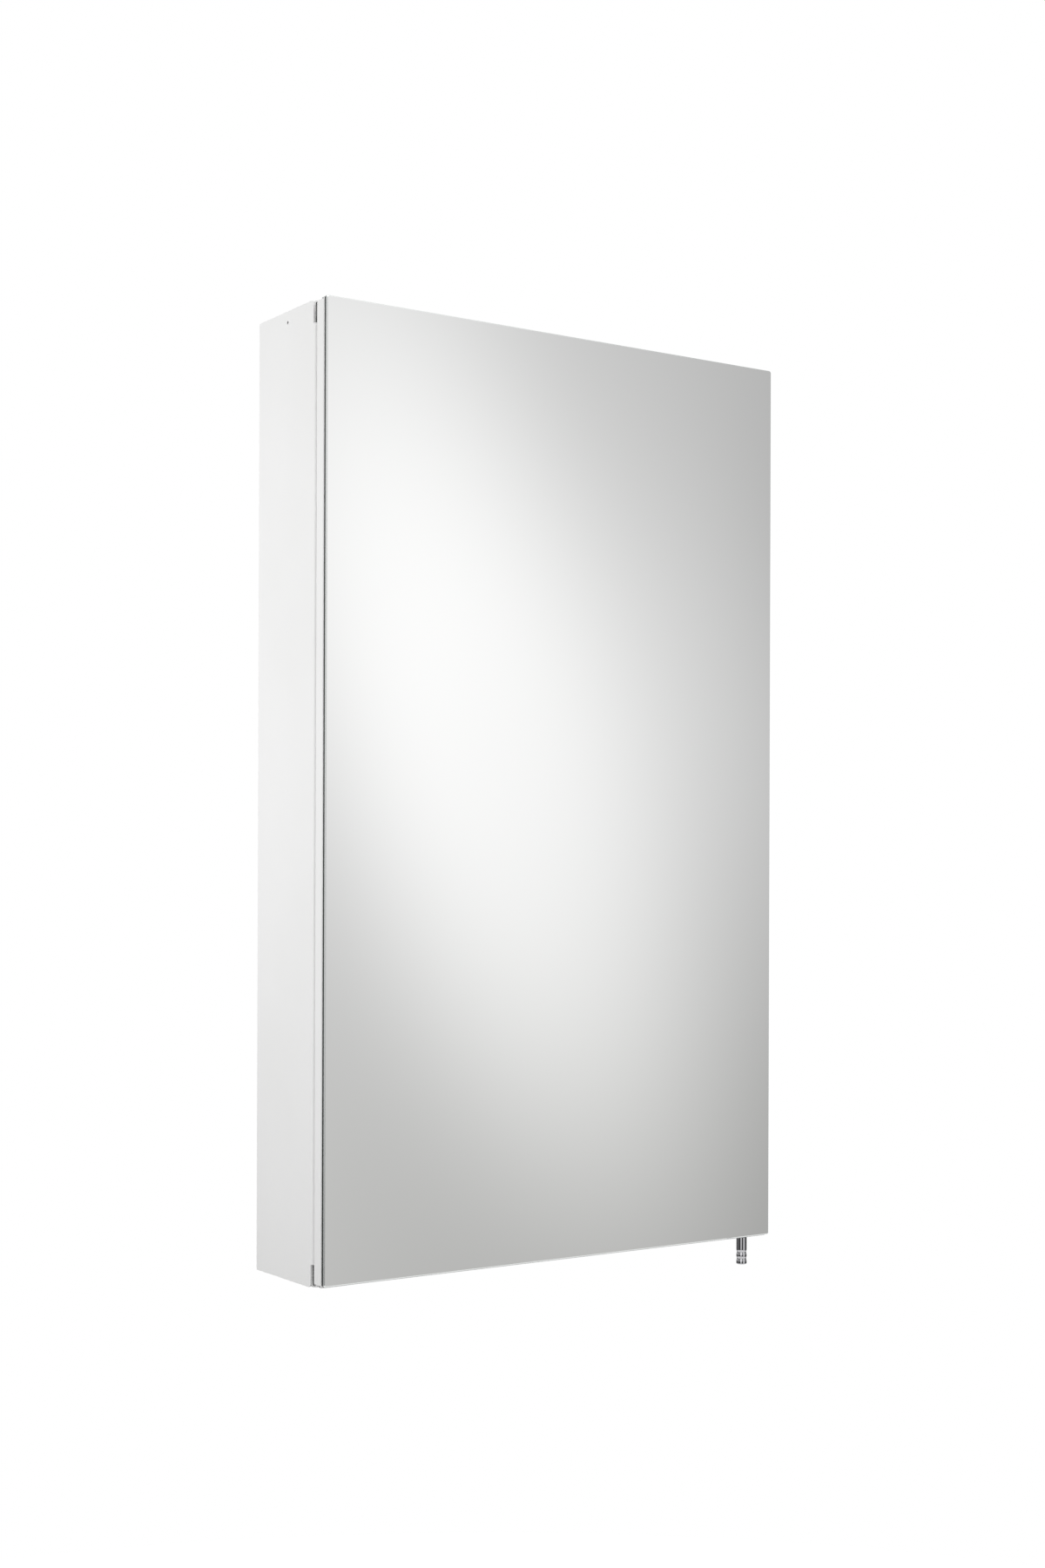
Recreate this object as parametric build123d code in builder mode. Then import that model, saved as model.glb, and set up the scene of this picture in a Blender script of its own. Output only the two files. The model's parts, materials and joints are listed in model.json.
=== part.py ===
from build123d import *
import os

# Single-door mirror cabinet for medicines: a folded white steel body, an overlay mirror door on two
# pivot hinges, two shelves on slotted rails, a magnetic catch and a stub handle under the door.
# Millimetres. The origin is the centre of the back face: +X to the viewer's right, the door faces
# -Y, +Z is up.

os.makedirs("parts", exist_ok=True)

# Body
body_width = 350.0
body_height = 600.0
body_depth = 76.0
sheet = 0.8                     # steel of the body, the shelves and the door
inner_bend = 1.0                # inside radius of the small folds
shell_bend = 2.5                # outside radius of the body's upright folds
lip_width = 15.0                # front lips beside the door opening
lip_return = 10.0               # how far the lips and end flanges turn back inside
end_flange = 14.0               # turned edges of the top and bottom panels
relief_spare = 0.2              # corner cuts reach this far past the folds
panel_corner = 3.0              # rounded corners of the side walls at the front
coating_hole_radius = 1.0       # the body hangs from these in the paint line
coating_hole_drop = 7.0
coating_hole_from_wall = 40.0
coating_slot_length = 6.0       # wider slots behind them in the end panels' tabs
coating_slot_height = 4.0

# Wall fixing
fixing_spacing = 250.0
keyhole_from_top = 60.0
keyhole_radius = 5.0
keyhole_slot = 5.6
keyhole_travel = 11.0
lower_hole_from_bottom = 50.0
lower_hole_radius = 3.0

# Shelf rails, clips and shelves
rail_stand = 6.0
rail_web = 44.0
rail_foot = 6.0
rail_end_gap = 30.0
rail_from_wall = 31.0           # centre line of the rail
slot_row_spacing = 48.0
slot_rows = 11
slot_column_spacing = 28.0
slot_length = 12.0
slot_height = 2.4
clip_sheet = 1.2
clip_width = 10.0
clip_tongue = 10.0
clip_hook = 5.0
clip_play = 0.2
upper_shelf_slot = 2            # counted from the middle row
lower_shelf_slot = -2
shelf_side_gap = 1.0
shelf_front_gap = 2.0
shelf_back_gap = 1.2
shelf_upstand = 10.0
shelf_apron = 12.0
shelf_apron_return = 6.0

# Door
door_gap = 2.0
door_top_drop = 0.2
door_bottom_rise = 1.4
tray_depth = 8.4
tray_bend = 1.5
liner_flange = 6.5
liner_fit = 0.1
stiffener_width = 30.0
stiffener_spacing = 116.0
stiffener_end_gap = 28.0
stiffener_fit = 0.1

# Mirror
tape_thickness = 0.6
tape_width = 20.0
tape_end_gap = 18.0
tape_strips = 4
tape_spacing = 98.0
glass_thickness = 3.0
glass_bottom_rise = 1.2         # the tray shows below the glass
glass_corner = 1.0
glass_arris = 0.8

# Pivot hinges
pivot_from_side = 3.9
pivot_from_door_back = 4.6
pin_radius = 1.5
pin_reach = 11.0
pin_running_clearance = 0.05
bracket_sheet = 1.2
bracket_bend = 2.0
bracket_arm_half_width = 2.7
bracket_arm_length = 15.1       # from the pivot to the inner side of the arm
bracket_root = 7.5
bracket_leg_width = 24.0
bracket_leg_height = 11.0
bracket_corner = 1.5
bracket_tongue = 3.2            # hooks through a slot in the flange and stops the leg from turning
bracket_slot_clearance = 0.3
bracket_screw_drop = 6.0
bracket_screw_from_end = 6.5
arm_clearance = 0.3
bush_width = 23.4
bush_height = 22.0
bush_chamfer = 1.0
bush_collar_radius = 2.6
bush_collar_height = 0.5
bush_running_gap = 0.1
bush_bore_spare = 0.6
bush_screw_from_side = 6.4
bush_screw_from_end = 6.0
bush_screw_length = 5.5
bush_screw_head_height = 1.3

# Screws and nuts
screw_radius = 1.5
screw_hole_radius = 1.7
countersunk_head_radius = 2.8
countersunk_head_height = 1.1
hinge_screw_length = 6.0
nut_across_flats = 5.5
nut_thickness = 2.4
pan_head_radius = 2.7
pan_head_height = 2.0

# Magnetic catch, pushed into a window in the right lip
catch_width = 7.6
catch_height = 27.0
catch_depth = 12.0
catch_fit = 0.1
catch_rim = 1.6
catch_rim_thickness = 0.8
catch_barb = 0.9
catch_barb_length = 3.0
catch_barb_width = 4.0
magnet_thickness = 3.0
magnet_height = 22.0
magnet_depth = 8.0
pole_thickness = 1.0
pole_lead = 0.3
magnet_door_gap = 0.4

# Door buffers
buffer_radius = 4.0
buffer_chamfer = 0.6
buffer_door_gap = 0.3
buffer_from_side = 7.0
buffer_from_end = 38.0

# Stub handle
handle_from_side = 18.0
handle_from_door_back = 4.2
handle_radius = 3.55
handle_length = 18.6
handle_groove_depth = 0.45
handle_groove_half = 1.1
handle_upper_groove = 10.3
handle_lower_groove = 14.7
handle_end_chamfer = 0.6
handle_bore_depth = 9.0
handle_screw_reach = 8.0

# Places worked out from the sizes
side_outer = body_width / 2
side_inner = side_outer - sheet
top_z = body_height / 2
front_y = -body_depth
lip_inner_x = side_outer - lip_width
flange_z = top_z - end_flange
corner_relief = shell_bend + relief_spare
keyhole_z = top_z - keyhole_from_top
lower_hole_z = -top_z + lower_hole_from_bottom
buffer_z = top_z - buffer_from_end
rail_y = -rail_from_wall
rail_face = side_inner - rail_stand
catch_x = side_outer - lip_width / 2
door_back_y = front_y - door_gap
tray_front_y = door_back_y - tray_depth
glass_back_y = tray_front_y - tape_thickness
glass_front_y = glass_back_y - glass_thickness
door_top_z = top_z - door_top_drop
door_bottom_z = -top_z + door_bottom_rise
door_mid_z = (door_top_z + door_bottom_z) / 2
door_height = door_top_z - door_bottom_z
liner_inner_y = door_back_y - sheet
tray_inner_y = tray_front_y + sheet
pivot_x = -side_outer + pivot_from_side
pivot_y = door_back_y - pivot_from_door_back
door_mirror_plane = Plane.XY.offset(door_mid_z)
arm_under = door_top_z - bracket_sheet
leg_left = pivot_x + bracket_arm_length - bracket_root
leg_right = leg_left + bracket_leg_width
leg_bottom = door_top_z - bracket_leg_height
bracket_screw_place = (leg_right - bracket_screw_from_end, door_top_z - bracket_screw_drop)
bracket_screw_seat = Plane.XZ.offset(body_depth + bracket_sheet).location * Location(
    (*bracket_screw_place, 0)
)
bush_left = -side_inner + liner_fit + sheet
bush_top_z = arm_under - bush_running_gap - bush_collar_height
bush_screw_x = bush_left + bush_width - bush_screw_from_side
bush_screw_z = bush_top_z - bush_height + bush_screw_from_end
handle_x = side_outer - handle_from_side
handle_y = door_back_y - handle_from_door_back
glass_bottom_z = door_bottom_z + glass_bottom_rise
glass_height = door_top_z - glass_bottom_z
glass_mid_z = (door_top_z + glass_bottom_z) / 2


def folded_section(points, radii):
    # A strip of sheet steel bent along the points, with the metal on the right of the line.
    with BuildSketch() as section:
        with BuildLine():
            FilletPolyline(*points, radius=radii)
            offset(amount=sheet, side=Side.RIGHT)
        make_face()
    return section.sketch


def save(part, name):
    part.label = name
    export_step(part, f"parts/{name}.step")


# Body shell: one sheet folded into two sides, the back and the two front lips.
with BuildPart() as body_shell:
    shell_line = [
        (-lip_inner_x, front_y + lip_return),
        (-lip_inner_x, front_y),
        (-side_outer, front_y),
        (-side_outer, 0),
        (side_outer, 0),
        (side_outer, front_y),
        (lip_inner_x, front_y),
        (lip_inner_x, front_y + lip_return),
    ]
    with BuildSketch(Plane.XY.offset(-top_z)):
        add(folded_section(shell_line, shell_bend))
    extrude(amount=body_height)
    # The lips stop short of the ends, where the end panels' own front flanges take over.
    for end in (-1, 1):
        with BuildSketch(Plane.XY.offset(end * flange_z)):
            with Locations((0, front_y)):
                Rectangle(2 * body_width, 2 * shell_bend)
                Rectangle(2 * side_inner, 2 * lip_return + 2 * sheet)
        extrude(amount=end * end_flange, mode=Mode.SUBTRACT)
    for end in (0, -1):
        end_edges = body_shell.edges().filter_by(Axis.X).group_by(Axis.Z)[end]
        fillet(end_edges.group_by(Axis.Y)[0], radius=panel_corner)
    # Keyholes drop over two wall screws, and two more screws lock the body below.
    with BuildSketch(Plane.XZ):
        with GridLocations(fixing_spacing, 1, 2, 1):
            with Locations((0, keyhole_z)):
                Circle(keyhole_radius)
            with Locations((0, keyhole_z + keyhole_travel / 2)):
                SlotCenterToCenter(keyhole_travel, keyhole_slot, rotation=90)
            with Locations((0, lower_hole_z)):
                Circle(lower_hole_radius)
    extrude(amount=sheet, mode=Mode.SUBTRACT)
    with BuildSketch(Plane.YZ):
        with Locations((-coating_hole_from_wall, top_z - coating_hole_drop)):
            Circle(coating_hole_radius)
    extrude(amount=side_outer, both=True, mode=Mode.SUBTRACT)
    # The catch sits in a window in the right lip.
    with BuildSketch(Plane.XZ.offset(body_depth)):
        with Locations((catch_x, 0)):
            Rectangle(catch_width + 2 * catch_fit, catch_height + 2 * catch_fit)
    extrude(amount=-sheet, mode=Mode.SUBTRACT)
save(body_shell.part, "body_shell")


# End panels: a tray between the sides, its front flange turned back inside like the lips.
def end_panel(door_end_z):
    flange_line = [
        (front_y + lip_return, flange_z),
        (front_y, flange_z),
        (front_y, top_z),
        (-sheet, top_z),
        (-sheet, flange_z),
    ]
    tab_line = [
        (-side_inner, flange_z),
        (-side_inner, top_z),
        (side_inner, top_z),
        (side_inner, flange_z),
    ]
    with BuildPart() as panel:
        with BuildSketch(Plane.YZ):
            add(folded_section(flange_line, inner_bend + sheet))
        extrude(amount=side_inner - corner_relief, both=True)
        with BuildSketch(Plane.XZ.offset(sheet + corner_relief)):
            add(folded_section(tab_line, inner_bend + sheet))
        extrude(amount=body_depth - sheet - 2 * corner_relief)
        with BuildSketch(Plane.XZ.offset(body_depth)):
            with Locations((leg_right - bracket_screw_from_end, door_end_z - bracket_screw_drop)):
                Circle(screw_hole_radius)
            with Locations((leg_left + bracket_root / 2, door_end_z - bracket_leg_height)):
                with Locations((0, bracket_sheet / 2)):
                    Rectangle(
                        bracket_root + 2 * bracket_slot_clearance,
                        bracket_sheet + 2 * bracket_slot_clearance,
                    )
        extrude(amount=-sheet, mode=Mode.SUBTRACT)
        with BuildSketch(Plane.YZ):
            with Locations((-coating_hole_from_wall, top_z - coating_hole_drop)):
                Rectangle(coating_slot_length, coating_slot_height)
        extrude(amount=side_outer, both=True, mode=Mode.SUBTRACT)
    return panel.part


with BuildPart() as top_panel:
    add(end_panel(door_top_z))
save(top_panel.part, "top_panel")

with BuildPart() as bottom_panel:
    mirror(end_panel(-door_bottom_z), about=Plane.XY)
save(bottom_panel.part, "bottom_panel")

# Slotted rails: a hat section spot-welded to each side wall, with two columns of slots.
with BuildPart() as shelf_rail_left:
    rail_back = rail_face + sheet
    rail_low = rail_y - rail_web / 2
    rail_high = rail_y + rail_web / 2
    rail_line = [
        (-side_inner, rail_low - rail_foot),
        (-side_inner, rail_low),
        (-rail_back, rail_low),
        (-rail_back, rail_high),
        (-side_inner, rail_high),
        (-side_inner, rail_high + rail_foot),
    ]
    rail_radii = [inner_bend + sheet, inner_bend, inner_bend, inner_bend + sheet]
    with BuildSketch(Plane.XY.offset(-top_z + rail_end_gap)):
        add(folded_section(rail_line, rail_radii))
    extrude(amount=body_height - 2 * rail_end_gap)
    with BuildSketch(Plane.YZ):
        with Locations((rail_y, 0)):
            with GridLocations(slot_column_spacing, slot_row_spacing, 2, slot_rows):
                Rectangle(slot_length, slot_height)
    extrude(amount=-side_outer, mode=Mode.SUBTRACT)
save(shelf_rail_left.part, "shelf_rail_left")

with BuildPart() as shelf_rail_right:
    mirror(shelf_rail_left.part, about=Plane.YZ)
save(shelf_rail_right.part, "shelf_rail_right")


# Shelf clips: a bent tongue whose foot hooks up behind the rail's slot.
def clip_set(slot):
    seat = slot * slot_row_spacing - slot_height / 2
    hook_x = rail_face + sheet + clip_play + clip_sheet
    with BuildPart() as clips:
        for column in (-1, 1):
            column_y = rail_y + column * slot_column_spacing / 2
            with BuildSketch(Plane.XZ.offset(-column_y)):
                with BuildLine():
                    FilletPolyline(
                        (-rail_face + clip_tongue, seat),
                        (-hook_x, seat),
                        (-hook_x, seat + clip_sheet + clip_hook),
                        radius=clip_sheet + inner_bend / 2,
                    )
                    offset(amount=clip_sheet, side=Side.RIGHT)
                make_face()
            extrude(amount=clip_width / 2, both=True)
        mirror(about=Plane.YZ)
    return clips.part


# Shelves: turned up at the back, turned down and back at the front.
def shelf(slot):
    under = slot * slot_row_spacing - slot_height / 2 + clip_sheet
    back = -sheet - shelf_back_gap
    front = front_y + lip_return + shelf_front_gap + sheet
    shelf_line = [
        (back, under + sheet + shelf_upstand),
        (back, under),
        (front, under),
        (front, under - shelf_apron + 2 * sheet),
        (front + shelf_apron_return, under - shelf_apron + 2 * sheet),
    ]
    with BuildPart() as panel:
        with BuildSketch(Plane.YZ):
            add(folded_section(shelf_line, [inner_bend + sheet, inner_bend, inner_bend]))
        extrude(amount=rail_face - shelf_side_gap, both=True)
    return panel.part


for name, slot in (("upper", upper_shelf_slot), ("lower", lower_shelf_slot)):
    save(clip_set(slot), f"shelf_clips_{name}")
    save(shelf(slot), f"shelf_{name}")

# Hinge brackets: a leg on the body's front flange, hooked through it by a tongue, and a cranked arm
# that reaches over the door.
with BuildPart() as hinge_bracket_top:
    with BuildSketch(Plane.YZ.offset(leg_left)):
        with BuildLine():
            FilletPolyline(
                (front_y - bracket_sheet + bracket_tongue, leg_bottom),
                (front_y - bracket_sheet, leg_bottom),
                (front_y - bracket_sheet, arm_under),
                (pivot_y - bracket_arm_half_width, arm_under),
                radius=[bracket_bend, bracket_bend - bracket_sheet],
            )
            offset(amount=bracket_sheet, side=Side.RIGHT)
        make_face()
    extrude(amount=bracket_root)
    with BuildSketch(Plane.XY.offset(arm_under)):
        with Locations((pivot_x, pivot_y)):
            Circle(bracket_arm_half_width)
            Rectangle(
                bracket_arm_length,
                2 * bracket_arm_half_width,
                align=(Align.MIN, Align.CENTER),
            )
            Circle(pin_radius, mode=Mode.SUBTRACT)
    extrude(amount=bracket_sheet)
    with BuildSketch(Plane.XZ.offset(body_depth)):
        with Locations((leg_right, leg_bottom + bracket_bend)):
            Rectangle(
                bracket_leg_width,
                bracket_leg_height - 2 * bracket_bend,
                align=(Align.MAX, Align.MIN),
            )
    extrude(amount=bracket_sheet)
    free_corners = hinge_bracket_top.edges().filter_by(Axis.Y).group_by(Axis.X)[-1]
    chamfer(free_corners, length=bracket_corner)
    with Locations(bracket_screw_seat):
        CounterSinkHole(screw_hole_radius, countersunk_head_radius)
save(hinge_bracket_top.part, "hinge_bracket_top")

# Hinge pins, riveted into the arms.
with BuildPart() as hinge_pin_top:
    with BuildSketch(Plane.XY.offset(door_top_z)):
        with Locations((pivot_x, pivot_y)):
            Circle(pin_radius)
    extrude(amount=-bracket_sheet - pin_reach)
save(hinge_pin_top.part, "hinge_pin_top")

# Nylon bushes in the door's corners turn on the pins.
with BuildPart() as hinge_bush_top:
    bush_centre_y = (liner_inner_y + tray_inner_y) / 2
    with BuildSketch(Plane.XY.offset(bush_top_z)):
        with Locations((bush_left, bush_centre_y)):
            Rectangle(
                bush_width,
                liner_inner_y - tray_inner_y,
                align=(Align.MIN, Align.CENTER),
            )
    extrude(amount=-bush_height)
    chamfer(hinge_bush_top.edges().filter_by(Axis.Z), length=bush_chamfer)
    with BuildSketch(Plane.XY.offset(bush_top_z)):
        with Locations((pivot_x, pivot_y)):
            Circle(bush_collar_radius)
    extrude(amount=bush_collar_height)
    with BuildSketch(Plane.XZ.offset(-door_back_y)):
        with Locations((bush_screw_x, bush_screw_z)):
            Circle(screw_radius)
    extrude(amount=bush_screw_length, mode=Mode.SUBTRACT)
    with BuildSketch(Plane.XY.offset(arm_under)):
        with Locations((pivot_x, pivot_y)):
            Circle(pin_radius + pin_running_clearance)
    extrude(amount=-pin_reach - bush_bore_spare, mode=Mode.SUBTRACT)
save(hinge_bush_top.part, "hinge_bush_top")

# The lower hinge is the upper one mirrored about the door's middle.
for name, upper in (("bracket", hinge_bracket_top), ("pin", hinge_pin_top), ("bush", hinge_bush_top)):
    with BuildPart() as lower:
        mirror(upper.part, about=door_mirror_plane)
    save(lower.part, f"hinge_{name}_bottom")

# A countersunk screw and a nut hold each bracket to its end panel's front flange.
with BuildPart() as hinge_screws:
    with Locations(bracket_screw_seat):
        Cylinder(
            screw_radius,
            hinge_screw_length,
            align=(Align.CENTER, Align.CENTER, Align.MAX),
        )
        Cone(
            screw_radius,
            countersunk_head_radius,
            countersunk_head_height,
            align=(Align.CENTER, Align.CENTER, Align.MAX),
        )
    mirror(about=door_mirror_plane)
save(hinge_screws.part, "hinge_screws")

with BuildPart() as hinge_nuts:
    with BuildSketch(Plane.XZ.offset(body_depth - sheet)):
        with Locations(bracket_screw_place):
            RegularPolygon(nut_across_flats / 2, 6, major_radius=False)
            Circle(screw_radius, mode=Mode.SUBTRACT)
    extrude(amount=-nut_thickness)
    mirror(about=door_mirror_plane)
save(hinge_nuts.part, "hinge_nuts")


# The arms need room in the door's corners, from the pivot to the left and back edges.
def arm_notches(floor_z):
    notch_right = pivot_x + bracket_arm_length + arm_clearance
    with BuildPart() as notches:
        with BuildSketch(Plane.XY.offset(floor_z)):
            with Locations((notch_right, tray_inner_y)):
                Rectangle(body_width, tray_depth + door_gap, align=(Align.MAX, Align.MIN))
        extrude(amount=end_flange)
        mirror(about=door_mirror_plane)
    return notches.part


# Door tray: a pressed pan that carries the mirror on its front.
with BuildPart() as door_tray:
    with BuildSketch(Plane.XZ.offset(-door_back_y)):
        with Locations((0, door_mid_z)):
            Rectangle(body_width, door_height)
    extrude(amount=tray_depth)
    fillet(door_tray.faces().sort_by(Axis.Y)[0].edges(), radius=tray_bend)
    offset(amount=-sheet, openings=door_tray.faces().sort_by(Axis.Y)[-1])
    with BuildSketch(Plane.XY.offset(door_bottom_z)):
        with Locations((handle_x, handle_y)):
            Circle(screw_hole_radius)
    extrude(amount=2 * sheet, mode=Mode.SUBTRACT)
    add(arm_notches(door_top_z - bracket_sheet - arm_clearance), mode=Mode.SUBTRACT)
save(door_tray.part, "door_tray")

# Door liner: a second pan that closes the back of the tray.
with BuildPart() as door_liner:
    liner_inset = sheet + liner_fit
    with BuildSketch(Plane.XZ.offset(-door_back_y)):
        with Locations((0, door_mid_z)):
            Rectangle(body_width - 2 * liner_inset, door_height - 2 * liner_inset)
    extrude(amount=liner_flange)
    fillet(door_liner.faces().sort_by(Axis.Y)[-1].edges(), radius=inner_bend + sheet)
    offset(amount=-sheet, openings=door_liner.faces().sort_by(Axis.Y)[0])
    with BuildSketch(Plane.XY.offset(door_bottom_z)):
        with Locations((handle_x, handle_y)):
            Circle(screw_hole_radius)
    extrude(amount=2 * liner_inset, mode=Mode.SUBTRACT)
    with BuildSketch(Plane.XZ.offset(-door_back_y)):
        with Locations((bush_screw_x, bush_screw_z), (bush_screw_x, 2 * door_mid_z - bush_screw_z)):
            Circle(screw_hole_radius)
    extrude(amount=sheet, mode=Mode.SUBTRACT)
    add(arm_notches(door_top_z - liner_inset - sheet - inner_bend), mode=Mode.SUBTRACT)
save(door_liner.part, "door_liner")

# Two upright channels keep the door flat.
with BuildPart() as door_stiffeners:
    leg_end_y = liner_inner_y - stiffener_fit
    channel_line = [
        (stiffener_width / 2, leg_end_y),
        (stiffener_width / 2, tray_inner_y),
        (-stiffener_width / 2, tray_inner_y),
        (-stiffener_width / 2, leg_end_y),
    ]
    channel_section = folded_section(channel_line, inner_bend + sheet)
    with BuildSketch(Plane.XY.offset(door_bottom_z + stiffener_end_gap)):
        with GridLocations(stiffener_spacing, 1, 2, 1):
            add(channel_section)
    extrude(amount=door_height - 2 * stiffener_end_gap)
save(door_stiffeners.part, "door_stiffeners")

# Low pan-head screws hold the bushes to the liner.
with BuildPart() as bush_screws:
    for radius, length in (
        (pan_head_radius, -bush_screw_head_height),
        (screw_radius, bush_screw_length),
    ):
        with BuildSketch(Plane.XZ.offset(-door_back_y)):
            with Locations((bush_screw_x, bush_screw_z)):
                Circle(radius)
        extrude(amount=length)
    mirror(about=door_mirror_plane)
save(bush_screws.part, "bush_screws")

# Mirror tape: upright foam strips between the tray and the glass.
with BuildPart() as mirror_tape:
    with BuildSketch(Plane.XZ.offset(-tray_front_y)):
        with Locations((0, glass_mid_z)):
            with GridLocations(tape_spacing, 1, tape_strips, 1):
                Rectangle(tape_width, glass_height - 2 * tape_end_gap)
    extrude(amount=tape_thickness)
save(mirror_tape.part, "mirror_tape")

# Mirror glass with ground edges.
with BuildPart() as mirror_glass:
    with BuildSketch(Plane.XZ.offset(-glass_back_y)):
        with Locations((0, glass_mid_z)):
            Rectangle(body_width, glass_height)
    extrude(amount=glass_thickness)
    chamfer(mirror_glass.edges().filter_by(Axis.Y), length=glass_corner)
    chamfer(mirror_glass.faces().sort_by(Axis.Y)[0].edges(), length=glass_arris)
    chamfer(mirror_glass.faces().sort_by(Axis.Y)[-1].edges(), length=glass_arris / 2)
save(mirror_glass.part, "mirror_glass")

# Stub handle: a turned rod with two shallow grooves, tapped from above.
with BuildPart() as door_handle:
    waist = handle_radius - handle_groove_depth
    outline = [(0, 0), (handle_radius, 0)]
    for depth in (handle_upper_groove, handle_lower_groove):
        outline += [
            (handle_radius, -depth + handle_groove_half),
            (waist, -depth),
            (handle_radius, -depth - handle_groove_half),
        ]
    outline += [(handle_radius, -handle_length), (0, -handle_length), (0, 0)]
    with BuildSketch(Plane.XZ):
        with BuildLine():
            Polyline(*outline)
        make_face()
    revolve(axis=Axis.Z)
    chamfer(door_handle.faces().sort_by(Axis.Z)[0].edges(), length=handle_end_chamfer)
    with BuildSketch(Plane.XY):
        Circle(screw_radius)
    extrude(amount=-handle_bore_depth, mode=Mode.SUBTRACT)
door_handle.part.locate(Location((handle_x, handle_y, door_bottom_z)))
save(door_handle.part, "door_handle")

# The handle's screw comes down from inside the door.
with BuildPart() as handle_screw:
    head_seat = door_bottom_z + 2 * sheet + liner_fit
    with BuildSketch(Plane.XY.offset(head_seat)):
        with Locations((handle_x, handle_y)):
            Circle(pan_head_radius)
    extrude(amount=pan_head_height)
    with BuildSketch(Plane.XY.offset(head_seat)):
        with Locations((handle_x, handle_y)):
            Circle(screw_radius)
    extrude(amount=-handle_screw_reach)
save(handle_screw.part, "handle_screw")

# Magnetic catch: a moulded housing with a rim in front of the lip and two barbs behind it.
catch_front_y = front_y - catch_rim_thickness
magnet_front_y = door_back_y + magnet_door_gap
with BuildPart() as catch_housing:
    with BuildSketch(Plane.XZ.offset(body_depth)):
        with Locations((catch_x, 0)):
            Rectangle(catch_width, catch_height)
    extrude(amount=-catch_depth)
    with BuildSketch(Plane.XZ.offset(body_depth)):
        with Locations((catch_x, 0)):
            Rectangle(catch_width + 2 * catch_rim, catch_height + 2 * catch_rim)
    extrude(amount=catch_rim_thickness)
    rim_front = catch_housing.faces().sort_by(Axis.Y)[0]
    chamfer(rim_front.edges(), length=catch_rim_thickness / 2)
    barb_y = front_y + sheet + catch_fit
    with BuildSketch(Plane.YZ.offset(catch_x - catch_barb_width / 2)):
        for end in (-1, 1):
            with BuildLine():
                Polyline(
                    (barb_y, end * catch_height / 2),
                    (barb_y, end * (catch_height / 2 + catch_barb)),
                    (barb_y + catch_barb_length, end * catch_height / 2),
                    close=True,
                )
            make_face()
    extrude(amount=catch_barb_width)
    with BuildSketch(Plane.XZ.offset(-catch_front_y)):
        with Locations((catch_x, 0)):
            Rectangle(magnet_thickness + 2 * pole_thickness, magnet_height)
    extrude(amount=-magnet_depth, mode=Mode.SUBTRACT)
save(catch_housing.part, "catch_housing")

with BuildPart() as catch_magnet:
    with BuildSketch(Plane.XZ.offset(-catch_front_y)):
        with Locations((catch_x, 0)):
            Rectangle(magnet_thickness, magnet_height)
    extrude(amount=-magnet_depth)
save(catch_magnet.part, "catch_magnet")

# Two steel pole plates stand proud of the magnet and draw the door's steel liner.
with BuildPart() as catch_poles:
    with BuildSketch(Plane.XZ.offset(-magnet_front_y)):
        with Locations((catch_x, 0)):
            with GridLocations(magnet_thickness + pole_thickness, 1, 2, 1):
                Rectangle(pole_thickness, magnet_height)
    extrude(amount=magnet_front_y - catch_front_y - magnet_depth)
    pole_fronts = catch_poles.faces().filter_by(Plane.XZ).group_by(Axis.Y)[0]
    chamfer(pole_fronts.edges().filter_by(Axis.X), length=pole_lead)
save(catch_poles.part, "catch_poles")

# Rubber buffers on the right lip meet the door's back.
with BuildPart() as door_buffers:
    with BuildSketch(Plane.XZ.offset(body_depth)):
        with Locations((side_outer - buffer_from_side, 0)):
            with GridLocations(1, 2 * buffer_z, 1, 2):
                Circle(buffer_radius)
    extrude(amount=door_gap - buffer_door_gap)
    chamfer(door_buffers.edges().group_by(Axis.Y)[0], length=buffer_chamfer)
save(door_buffers.part, "door_buffers")
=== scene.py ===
import json
import math

import bmesh
import bpy
from mathutils import Matrix, Vector


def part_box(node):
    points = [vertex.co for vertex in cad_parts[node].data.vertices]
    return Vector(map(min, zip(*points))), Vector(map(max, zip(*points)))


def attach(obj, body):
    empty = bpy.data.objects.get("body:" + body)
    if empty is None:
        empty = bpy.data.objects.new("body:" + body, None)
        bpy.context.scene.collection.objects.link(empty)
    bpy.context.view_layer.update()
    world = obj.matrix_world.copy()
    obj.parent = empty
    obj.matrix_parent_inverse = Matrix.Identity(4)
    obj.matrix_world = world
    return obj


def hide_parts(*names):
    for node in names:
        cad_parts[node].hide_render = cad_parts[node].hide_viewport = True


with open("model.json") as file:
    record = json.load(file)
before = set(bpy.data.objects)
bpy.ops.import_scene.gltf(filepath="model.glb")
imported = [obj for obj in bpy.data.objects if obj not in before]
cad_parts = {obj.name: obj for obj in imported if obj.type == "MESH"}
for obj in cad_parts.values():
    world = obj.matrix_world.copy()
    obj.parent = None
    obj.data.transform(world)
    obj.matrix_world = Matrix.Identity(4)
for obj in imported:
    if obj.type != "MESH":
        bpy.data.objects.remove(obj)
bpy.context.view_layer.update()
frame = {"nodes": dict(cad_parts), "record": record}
nodes = frame["nodes"]
mm = 0.001
print("frame loaded:", len(nodes), "nodes")


# Node trees written as expressions, for materials and for geometry alike

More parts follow.
